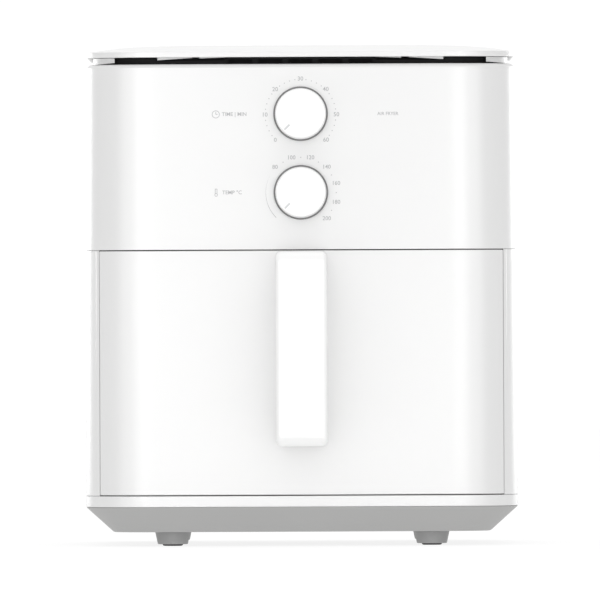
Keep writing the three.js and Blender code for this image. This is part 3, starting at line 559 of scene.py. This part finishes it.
def make_lid():
    """The crowned lid, with wedges under its front edge."""
    steps = 30
    rim = 0.4 * MM
    insets = [LID_REACH * (i / steps) ** 2.2 for i in range(1, steps + 1)]
    layers = [
        (8 * MM, LID_Z), (rim, LID_Z), *fillet((rim, LID_Z + rim), rim, 270, 180, 5), (0, LID_RIM_Z - MM),
        *[(inset, lid_height(inset)) for inset in insets],
    ]
    skin = lofted("lid_skin", layers, eased=True)
    wedges = [lid_wedge(side, *ends) for side in (-1, 1) for ends in LID_WEDGES]
    return finish_piece(smooth(joined("lid", skin, *wedges)), ["top_cover"])


def slit(x, y):
    """How far the neck stands above the deck: a slit beside the front window that closes round the corner."""
    share = (abs(x) - WINDOW_HALF_WIDTH) / SLIT_LENGTH
    return SLIT_HEIGHT * (1 - share) if share < 1 and y < 0 else -0.2 * MM


def collar(side):
    """The neck under the lid, round one side of the housing between the front and the back windows."""
    high = SHELL_HIGH.z
    lines = []
    section = [(COLLAR_INSET, False), (COLLAR_INSET, True), (COLLAR_INNER, True), (COLLAR_INNER, False)]
    for inset, top in section:
        stretch = [p for p in rear_stretch(inset, high, WINDOW_HALF_WIDTH, 24) if p.x > 0]
        stretch.append(Vector((BACK_WINDOW_HALF_WIDTH, BACK_Y - inset, high)))
        lines.append([Vector((side * p.x, p.y, high if top else DECK_Z + slit(p.x, p.y))) for p in stretch])
    return stacked("collar", list(zip(*lines)))


def make_upper_shell():
    """The shell round the dials, with a rounded deck and the neck that carries the lid."""
    low = SHELL_LOW.z
    edge = 0.3 * MM
    deck_round = 2.6 * MM
    deck_reach = 7.4 * MM
    section = [
        (WALL, low), (edge, low), *fillet((edge, low + edge), edge, 270, 180, 3),
        *fillet((deck_round, DECK_Z - deck_round), deck_round, 180, 90, 8),
        (deck_reach, DECK_Z), (deck_reach, DECK_Z - WALL), (WALL, DECK_Z - WALL),
    ]
    shell = hooped("shell", section)
    collars = [collar(side) for side in (-1, 1)]
    return finish_piece(smooth(joined("upper_housing", shell, *collars)), ["upper_shell"])


def louvre_gaps(top):
    """Blocks that cut a row of gaps at the louvre's front and back, and a long gap at each front side."""
    pitch, half, depth = 20 * MM, 8 * MM, 14 * MM
    low, high = DECK_Z + 0.4 * MM, top - 0.8 * MM
    gaps = []
    for i in range(-4, 5):
        x = pitch * i
        gaps.append(block("gap", (x - half, BACK_Y - depth, low), (x + half, BACK_Y, high)))
        if abs(i) <= 2:
            gaps.append(block("gap", (x - half, FRONT_Y, low), (x + half, FRONT_Y + depth, high)))
    for x in (-96 * MM, 50 * MM):
        gaps.append(block("gap", (x, FRONT_Y, LID_Z - 2.2 * MM), (x + 46 * MM, FRONT_Y + depth, top + MM)))
    return gaps


def make_grille():
    """The black louvre behind the slot under the lid, with a wall behind it that keeps light out."""
    low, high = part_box("intake_grille")
    thick = 1.2 * MM
    outer = 2.8 * MM
    neck = COLLAR_INNER + 0.4 * MM
    wall = neck + 1.6 * MM
    baffle = neck + 9 * MM
    sill = DECK_Z - 3 * MM
    baffle_top = high.z - 0.2 * MM
    section = [
        (wall, low.z + thick), (wall, high.z), (neck, high.z), (neck, sill), (outer, sill), (outer, low.z),
        (baffle + thick, low.z), (baffle + thick, baffle_top), (baffle, baffle_top), (baffle, low.z + thick),
    ]
    louvre = hooped("louvre", section)
    outward(louvre)
    carved(louvre, *louvre_gaps(high.z))
    return finish_piece(smooth(louvre), ["intake_grille"])


def tongue(low, high, limit):
    """A band behind the wall, which closes the seams above and below it."""
    lip = 0.3 * MM
    outer, inner = 0.5 * MM, 1.6 * MM
    section = [(outer, low - lip), (outer, high + lip), (inner, high + lip), (inner, low - lip)]
    return banded("tongue", section, limit)


def jamb(side, low, high, limit):
    """The wall's return beside the drawer, on one side."""
    width = 2.2 * MM
    x0, x1 = sorted((side * limit, side * (limit + width)))
    front = front_y(limit + width, 0.4 * MM, low)
    return block("jamb", (x0, front, low), (x1, FRONT_Y + 34 * MM, high))


def vent_hole():
    """The opening in the back wall that the vent cover lies over."""
    low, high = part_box("rear_vent_cover")
    margin = 4.8 * MM
    reach = 8 * MM
    return block(
        "vent_hole",
        (low.x + margin, BACK_Y - reach, low.z + margin),
        (high.x - margin, BACK_Y + reach, high.z - margin),
    )


def make_lower_shell():
    """The wall round the sides and the back, with a tongue behind its seams and a jamb at each end."""
    low, high = LOWER_LOW.z, LOWER_HIGH.z
    edge = 0.2 * MM
    limit = DRAWER_HIGH.x + DRAWER_GAP
    section = [
        (WALL, low), (edge, low), *fillet((edge, low + edge), edge, 270, 180, 3),
        *fillet((edge, high - edge), edge, 180, 90, 3), (WALL, high),
    ]
    wall = banded("wall", section, limit)
    outward(wall)
    carved(wall, vent_hole())
    jambs = [jamb(side, low, high, limit) for side in (-1, 1)]
    parts = [wall, tongue(low, high, limit - 0.28 * MM), *jambs]
    return finish_piece(smooth(joined("lower_housing", *parts)), ["lower_shell"])


def make_base_ring():
    """The white band round the top of the base."""
    low, high = BAND_LOW.z, BAND_HIGH.z
    edge = 0.45 * MM
    layers = [
        (6 * MM, low), (edge, low), *fillet((edge, low + edge), edge, 270, 180, 4),
        *fillet((edge, high - edge), edge, 180, 90, 4), (8 * MM, high),
    ]
    return finish_piece(smooth(lofted("base_band", layers)), ["base_ring"])


def air_slots(floor):
    """Rounded blocks that cut a row of slots through the base's floor."""
    reach, half = 40 * MM, 2 * MM
    slots = []
    for i in range(-4, 5):
        y = (30 + 9 * i) * MM
        slot = block("slot", (-reach, y - half, floor - 2 * MM), (reach, y + half, floor + 4 * MM))
        slots.append(rounded(slot, 1.9 * MM, 3, 60))
    return slots


def make_base_cover():
    """The base below its band: it slopes in to a flat floor with slots in it."""
    low, high = COVER_LOW.z, COVER_HIGH.z
    run = 18.6 * MM
    soft = 3.0 * MM
    slope = math.atan2(high - low, run)
    bend = run + soft * math.tan(slope / 2)
    layers = [
        (run + 14 * MM, low), *fillet((bend, low + soft), soft, 270, 270 - math.degrees(slope), 6),
        (0.5 * MM, high - 0.3 * MM), (0.5 * MM, high),
    ]
    body = lofted("base_body", layers)
    outward(body)
    carved(body, *air_slots(low))
    return finish_piece(smooth(body), ["base_cover"])


def make_foot(corner):
    """A foot that narrows downwards, with a rubber pad in its bore."""
    low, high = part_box(f"foot_{corner}")
    pad_low, pad_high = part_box(f"foot_pad_{corner}")
    centre = ((low.x + high.x) / 2, (low.y + high.y) / 2, 0)
    top = (high.x - low.x) / 2
    bottom = top - 1.5 * MM
    pad = (pad_high.x - pad_low.x) / 2
    bore = pad + 0.3 * MM
    body = turned(f"foot_body_{corner}", [
        (bore, 3 * MM), (bore, low.z), (bottom - 0.8 * MM, low.z), (bottom - 0.2 * MM, low.z + 0.25 * MM),
        (bottom, low.z + 0.9 * MM), (top, high.z), (bore, high.z), (bore, 3 * MM),
    ], centre, "up", 64)
    finish_piece(smooth(body), [f"foot_{corner}"])
    tread = turned(f"foot_tread_{corner}", [
        (0, 0.25 * MM), (pad - 3.4 * MM, 0.25 * MM), (pad - 3 * MM, 0), (pad - 1.2 * MM, 0),
        (pad - 0.4 * MM, 0.3 * MM), (pad, 0.9 * MM), (pad, 3.8 * MM), (0, 3.8 * MM),
    ], centre, "up", 64)
    finish_piece(smooth(tread), [f"foot_pad_{corner}"])


# ---------------------------------------------------------------------------------------------
# Drawer pieces
# ---------------------------------------------------------------------------------------------


def make_drawer_front():
    """The panel that follows the housing's front, and is flat behind."""
    low, high = DRAWER_LOW.z, DRAWER_HIGH.z
    edge = 0.6 * MM
    layers = [
        (2 * MM, low), *fillet((edge, low + edge), edge, 270, 180, 4),
        *fillet((edge, high - edge), edge, 180, 90, 4), (2 * MM, high),
    ]
    loops = []
    for inset, z in layers:
        side = DRAWER_HIGH.x - min(inset, edge)
        back = DRAWER_HIGH.y - min(inset, edge)
        loops.append([Vector((-side, back, z)), *front_stretch(inset, z, side), Vector((side, back, z))])
    return finish_piece(smooth(stacked("panel", loops)), ["drawer_front"])


def handle_side(low, high):
    """The handle's (y, z) outline from the side: a bar on two arms, with the finger gap behind the bar."""
    grip = low.y + 20 * MM
    arm = 17.5 * MM
    outer, inner = 7 * MM, 9 * MM
    right = math.pi / 2
    return [
        (high.y, high.z),
        *arc(low.y + outer, high.z - outer, outer, right, 2 * right, 12),
        *arc(low.y + outer, low.z + outer, outer, 2 * right, 3 * right, 12),
        (high.y, low.z),
        (high.y, low.z + arm),
        *arc(grip + inner, low.z + arm + inner, inner, 3 * right, 2 * right, 10),
        *arc(grip + inner, high.z - arm - inner, inner, 2 * right, right, 10),
        (high.y, high.z - arm),
    ]


def make_handle():
    """The handle's rounded shell, with a recess for its front cover."""
    low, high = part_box("handle_shell")
    side = handle_side(low, high)
    handle = stacked("bar", [[Vector((x, y, z)) for y, z in side] for x in (-high.x, high.x)])
    outward(handle)
    weigh_rim(handle, high.x, high.y)
    bevel = handle.modifiers.new("round", "BEVEL")
    bevel.width = 4 * MM
    bevel.segments = 8
    bevel.limit_method = "WEIGHT"
    apply_modifiers(handle)
    outward(handle)
    cover_low, cover_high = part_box("handle_cover")
    gap = 0.25 * MM
    carved(handle, block("recess", cover_low - Vector((gap, gap, gap)), cover_high + Vector((gap, MM, gap))))
    return finish_piece(smooth(handle, 50), ["handle_shell"], "dial_white")


def weigh_rim(obj, half, back):
    """Marks the two side outlines for rounding, but not where the arms meet the drawer."""
    mesh = bmesh.new()
    mesh.from_mesh(obj.data)
    weight = mesh.edges.layers.float.new("bevel_weight_edge")
    for edge in mesh.edges:
        a, b = (v.co for v in edge.verts)
        on_side = abs(abs(a.x) - half) < 1e-6 and abs(a.x - b.x) < 1e-6
        at_back = abs(a.y - back) < 1e-6 and abs(b.y - back) < 1e-6
        edge[weight] = 1.0 if on_side and not at_back else 0.0
    mesh.to_mesh(obj.data)
    mesh.free()


# ---------------------------------------------------------------------------------------------
# Dials
# ---------------------------------------------------------------------------------------------


def make_dial(name):
    """A cap with a pointer printed on it, and the fixed ring round it."""
    low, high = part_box(f"{name}_knob")
    centre = Vector((0, high.y, DIAL_HEIGHTS[name]))
    radius = (high.x - low.x) / 2
    depth = high.y - low.y
    make_cap(name, centre, radius, depth)
    make_trim(name, radius)
    make_pointer(name, centre + Vector((0, 0.1 * MM - depth, 0)))


def make_cap(name, centre, radius, depth):
    """The dial's cap: hollow behind, with a rounded front edge and a face that dips slightly."""
    face = radius - 0.45 * MM
    edge = 1.1 * MM
    profile = [
        (0, 1.5 * MM), (radius - 2.5 * MM, 1.5 * MM), (radius - 2.2 * MM, 0), (radius - 0.25 * MM, 0),
        (radius, 0.25 * MM), *fillet((face - edge, depth - edge), edge, 0, 90, 6),
        (face - 3 * MM, depth - 0.02 * MM), (6 * MM, depth - 0.15 * MM), (0, depth - 0.18 * MM),
    ]
    cap = turned(f"{name}_cap", profile, centre, "front", 128)
    finish_piece(smooth(cap, 40), [f"{name}_knob"])


def make_trim(name, radius):
    """The ring round a cap of this radius."""
    low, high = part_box(f"{name}_ring")
    inner = radius - 1.5 * MM
    outer = (high.x - low.x) / 2 - 0.1 * MM
    height = 0.7 * MM
    profile = [
        (inner, 0), (outer, 0), (outer, 0.3 * MM), (outer - 0.2 * MM, height), (inner + 0.3 * MM, height),
        (inner, 0),
    ]
    trim = turned(f"{name}_trim", profile, (0, high.y, DIAL_HEIGHTS[name]), "front", 128)
    finish_piece(smooth(trim, 40), [f"{name}_ring"])


def make_pointer(name, centre):
    """The line printed on a cap, where it stands at rest."""
    half = 0.65 * MM
    line = block(f"{name}_pointer", (10.4 * MM, -0.12 * MM, -half), (15.2 * MM, 0, half))
    rounded(line, 0.1 * MM, 2)
    angle = math.radians(DIAL_START)
    for vertex in line.data.vertices:
        x, z = vertex.co.x, vertex.co.z
        vertex.co = (
            centre.x + x * math.cos(angle) - z * math.sin(angle),
            centre.y + vertex.co.y,
            centre.z + x * math.sin(angle) + z * math.cos(angle),
        )
    printed(line, f"{name}_dial", "pointer_grey")


# ---------------------------------------------------------------------------------------------
# Print on the control face
# ---------------------------------------------------------------------------------------------


def printed(obj, body, ink="print_grey"):
    """Inks a drawing, and lets it move with a body."""
    obj.data.materials.clear()
    obj.data.materials.append(MATERIALS[ink])
    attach(obj, body)
    return obj


def laid_on_front(obj, x, z):
    """Moves a flat drawing in X and Y onto the front at a place, following its crown."""
    for vertex in obj.data.vertices:
        px, pz, up = vertex.co.x + x, vertex.co.y + z, vertex.co.z
        vertex.co = (px, front_y(px, 0, pz) - up, pz)
    return obj


def lettering(name, words, x, z, height, anchor="CENTER"):
    """Words on the front, as solid letters of a height."""
    curve = bpy.data.curves.new(name, "FONT")
    curve.body = words
    curve.size = height / CAPITAL_SHARE
    curve.align_x = anchor
    curve.align_y = "CENTER"
    curve.extrude = INK / 2
    curve.offset = 0.05 * MM
    curve.resolution_u = 3
    text = linked(name, curve)
    bpy.context.view_layer.update()
    mesh = bpy.data.meshes.new_from_object(text)
    bpy.data.objects.remove(text)
    return laid_on_front(linked(name, mesh), x, z)


def inked(name, outlines):
    """Flat closed outlines in X and Y, raised by the ink's thickness."""
    verts, faces = [], []
    for points in outlines:
        start = len(verts)
        count = len(points)
        verts += [(x, y, -INK / 2) for x, y in points] + [(x, y, INK / 2) for x, y in points]
        faces.append(tuple(start + count + i for i in range(count)))
        faces.append(tuple(start + i for i in reversed(range(count))))
        for i in range(count):
            j = (i + 1) % count
            faces.append((start + i, start + j, start + count + j, start + count + i))
    return new_object(name, verts, faces)


def disc(radius, sides=16):
    """The outline of a disc round the origin."""
    return arc(0, 0, radius, 0, 2 * math.pi, sides)[:-1]


def bow(radius, start, end, width):
    """A curved line round the origin, whose width runs out at its end. The angles are in degrees."""
    steps = 40
    least = 0.02 * MM
    a, b = math.radians(start), math.radians(end)
    outer = arc(0, 0, radius, a, b, steps)
    inner = []
    for i in range(steps, -1, -1):
        share = i / steps
        angle = a + (b - a) * share
        r = radius - width * (1 - share) - least
        inner.append((r * math.cos(angle), r * math.sin(angle)))
    return outer + inner


def on_dial(radius, degrees):
    """The (x, rise) of a place round a dial, from its axis."""
    return radius * math.cos(math.radians(degrees)), radius * math.sin(math.radians(degrees))


def number_mark(number, radius, degrees, z, height):
    """A number of a dial's scale, whose axis is at z."""
    x, rise = on_dial(radius, degrees)
    return lettering("mark", str(number), x, z + rise, height)


def dot_mark(degrees, z):
    """A dot of a dial's scale, whose axis is at z."""
    x, rise = on_dial(DOT_PLACE, degrees)
    return laid_on_front(inked("dot", [disc(DOT_RADIUS)]), x, z + rise)


def make_timer_scale():
    """The minutes round the timer: a number at every tenth, and dots between."""
    z = DIAL_HEIGHTS["timer"] - 0.6 * MM
    degrees_per_minute = 4.5
    marks = []
    for minute in range(0, 61, 2):
        angle = DIAL_START - minute * degrees_per_minute
        if minute % 10 == 0:
            marks.append(number_mark(minute, 23.8 * MM, angle, z, 2.7 * MM))
        else:
            marks.append(dot_mark(angle, z))
    return printed(joined("timer_scale", *marks), "housing")


def heat_angle(heat):
    """Where a temperature stands: 80 is at the upper left, and each degree of heat turns the dial by 1.5."""
    return 135 - 1.5 * (heat - 80)


def make_heat_scale():
    """The temperatures round the thermostat, dots between them, and a line from the start towards 80."""
    z = DIAL_HEIGHTS["thermostat"] - 0.3 * MM
    marks = [number_mark(heat, 24.2 * MM, heat_angle(heat), z, 2.6 * MM) for heat in range(80, 201, 20)]
    marks += [dot_mark(heat_angle(heat), z) for heat in range(90, 200, 20)]
    crescent = inked("crescent", [bow(23.4 * MM, DIAL_START, 150, 0.35 * MM)])
    marks.append(laid_on_front(crescent, 0, z))
    return printed(joined("heat_scale", *marks), "housing")


def ring_outline(x, y, radius, width):
    """A thin ring as two half rings, each a closed outline."""
    halves = []
    for start in (0, math.pi):
        outer = arc(x, y, radius, start, start + math.pi, 16)
        inner = arc(x, y, radius - width, start + math.pi, start, 16)
        halves.append(outer + inner)
    return halves


def stroke(x0, y0, x1, y1, width):
    """The outline of a straight line between two points."""
    length = math.hypot(x1 - x0, y1 - y0)
    nx, ny = (y0 - y1) / length * width / 2, (x1 - x0) / length * width / 2
    return [(x0 + nx, y0 + ny), (x0 - nx, y0 - ny), (x1 - nx, y1 - ny), (x1 + nx, y1 + ny)]


def make_labels():
    """A clock and a thermometer, and a few plain words, beside the dials."""
    left = -56.3 * MM
    words_left = left + 4 * MM
    timer_z, heat_z = DIAL_HEIGHTS["timer"] - 0.2 * MM, DIAL_HEIGHTS["thermostat"]
    size = 2.4 * MM
    line = 0.42 * MM
    clock = ring_outline(0, 0, 2.6 * MM, line) + [
        stroke(0, 0, 0, 1.6 * MM, line),
        stroke(0, 0, 1.2 * MM, 0, line),
    ]
    stem = ring_outline(0, -1.5 * MM, 1.1 * MM, line) + [
        stroke(-0.6 * MM, -0.8 * MM, -0.6 * MM, 2.4 * MM, line),
        stroke(0.6 * MM, -0.8 * MM, 0.6 * MM, 2.4 * MM, line),
        stroke(-0.7 * MM, 2.4 * MM, 0.7 * MM, 2.4 * MM, line),
    ]
    pieces = [
        laid_on_front(inked("clock", clock), left, timer_z),
        laid_on_front(inked("stem", stem), left, heat_z),
        lettering("time_words", "TIME | MIN", words_left, timer_z, size, "LEFT"),
        lettering("heat_words", "TEMP °C", words_left, heat_z, size, "LEFT"),
        lettering("kind_words", "AIR FRYER", 51 * MM, timer_z, 2.1 * MM, "LEFT"),
    ]
    return printed(joined("control_labels", *pieces), "housing")


# ---------------------------------------------------------------------------------------------
# Carried-over pieces, stage, light and camera
# ---------------------------------------------------------------------------------------------

# CAD nodes whose own form is kept, with the millimetres that their edges are rounded by.
SOFTENED = {
    "handle_cover": 0.4,
    "rear_vent_cover": 0.4,
    "cord_gland": 0.5,
    "pan": 0.3,
    "pan_bracket": 0.3,
    "crisper_plate": 0,
    "plate_bumper_front": 0.6,
    "plate_bumper_rear": 0.6,
    "plate_bumper_left": 0.6,
    "plate_bumper_right": 0.6,
    "drawer_inner_panel": 0.3,
    "chamber_liner": 0.15,
    "heater_guard": 0.15,
    "heater_dome": 0.15,
    "heating_element": 0,
    "hot_air_fan": 0,
    "mid_frame": 0.2,
    "exhaust_duct": 0.2,
}


def finish_cad_nodes():
    """Gives every CAD node the material of its slot. It shows on those that no new piece replaces."""
    for name, obj in frame["nodes"].items():
        material = MATERIALS[NODE_SLOT[name]]
        if not obj.material_slots:
            obj.data.materials.append(material)
        for slot in obj.material_slots:
            slot.material = material


def make_stage():
    """A floor that glows, so that it is as white as the background, and still takes the contact shadows."""
    rim = disc(12, 96)
    floor = new_object("floor", [(x, y, 0) for x, y in rim], [tuple(range(len(rim)))])
    material = bpy.data.materials.new("floor_white")
    material.use_nodes = True
    shader = material.node_tree.nodes["Principled BSDF"]
    shader.inputs["Base Color"].default_value = (FLOOR_COLOUR, FLOOR_COLOUR, FLOOR_COLOUR, 1)
    shader.inputs["Emission Color"].default_value = (1, 1, 1, 1)
    shader.inputs["Emission Strength"].default_value = FLOOR_GLOW
    shader.inputs["Roughness"].default_value = 0.9
    shader.inputs["Specular IOR Level"].default_value = 0.1
    floor.data.materials.append(material)


def make_world():
    """A white studio, brightest overhead, darker to the sides, with a white line all round at eye level."""
    world = bpy.data.worlds.new("studio")
    bpy.context.scene.world = world
    world.use_nodes = True
    tree = world.node_tree
    direction = tree.nodes.new("ShaderNodeTexCoord").outputs["Generated"]
    split = tree.nodes.new("ShaderNodeSeparateXYZ")
    tree.links.new(direction, split.inputs[0])
    ahead = math_node(tree, "MAXIMUM", math_node(tree, "MULTIPLY", split.outputs["Y"], -1.0), 0.0)
    behind = math_node(tree, "MAXIMUM", split.outputs["Y"], 0.0)
    above = math_node(tree, "MAXIMUM", split.outputs["Z"], 0.0)
    total = math_node(tree, "MULTIPLY_ADD", math_node(tree, "POWER", ahead, 4.0), AHEAD_LIGHT, SIDE_LIGHT)
    total = math_node(tree, "MULTIPLY_ADD", math_node(tree, "POWER", behind, 2.0), BEHIND_LIGHT, total)
    total = math_node(tree, "MULTIPLY_ADD", above, TOP_LIGHT, total)
    tilt = math_node(tree, "ABSOLUTE", split.outputs["Z"])
    level = node(
        tree, "ShaderNodeMapRange", Value=tilt, From_Min=0.03, From_Max=0.08,
        To_Min=EYE_LINE_LIGHT, To_Max=0.0,
    )
    total = math_node(tree, "MAXIMUM", total, level.outputs["Result"])
    tree.links.new(total, tree.nodes["Background"].inputs["Strength"])
    tree.nodes["Background"].inputs["Color"].default_value = (1, 1, 1, 1)


def make_light(name, azimuth, distance, size, radiance, height):
    """A card that shows only as a soft sheen. Its azimuth runs from the front, positive to the right."""
    light = bpy.data.lights.new(name, "AREA")
    light.shape = "RECTANGLE"
    light.size, light.size_y = size
    light.energy = radiance * math.pi * size[0] * size[1]
    turn = math.radians(azimuth)
    place = Vector((distance * math.sin(turn), -distance * math.cos(turn), height))
    obj = linked(name, light)
    obj.location = place
    obj.rotation_euler = (Vector((0, 0, height)) - place).to_track_quat("-Z", "Y").to_euler()
    obj.visible_camera = False
    obj.visible_diffuse = False


def make_camera():
    """The camera looks along +Y, and is rolled a little as the object stands in its picture."""
    camera = bpy.data.cameras.new("camera")
    camera.lens = LENS
    camera.sensor_width = SENSOR
    camera.clip_end = 50
    obj = linked("camera", camera)
    obj.location = (CAMERA_X, FOCUS_Y - PICTURE_WIDTH * LENS / SENSOR, CAMERA_Z)
    obj.rotation_euler = (math.radians(90), math.radians(CAMERA_ROLL), 0)
    bpy.context.scene.camera = obj


finish_cad_nodes()
make_lid()
make_upper_shell()
make_lower_shell()
make_base_ring()
make_base_cover()
for corner in ("front_left", "front_right", "rear_left", "rear_right"):
    make_foot(corner)
make_drawer_front()
make_handle()
for dial in DIAL_HEIGHTS:
    make_dial(dial)
make_grille()
for name, width in SOFTENED.items():
    refined(name, width * MM)
make_timer_scale()
make_heat_scale()
make_labels()
make_stage()
make_world()
for name, card in CARDS.items():
    make_light(name, *card)
make_camera()
bpy.context.scene.view_settings.view_transform = "Standard"
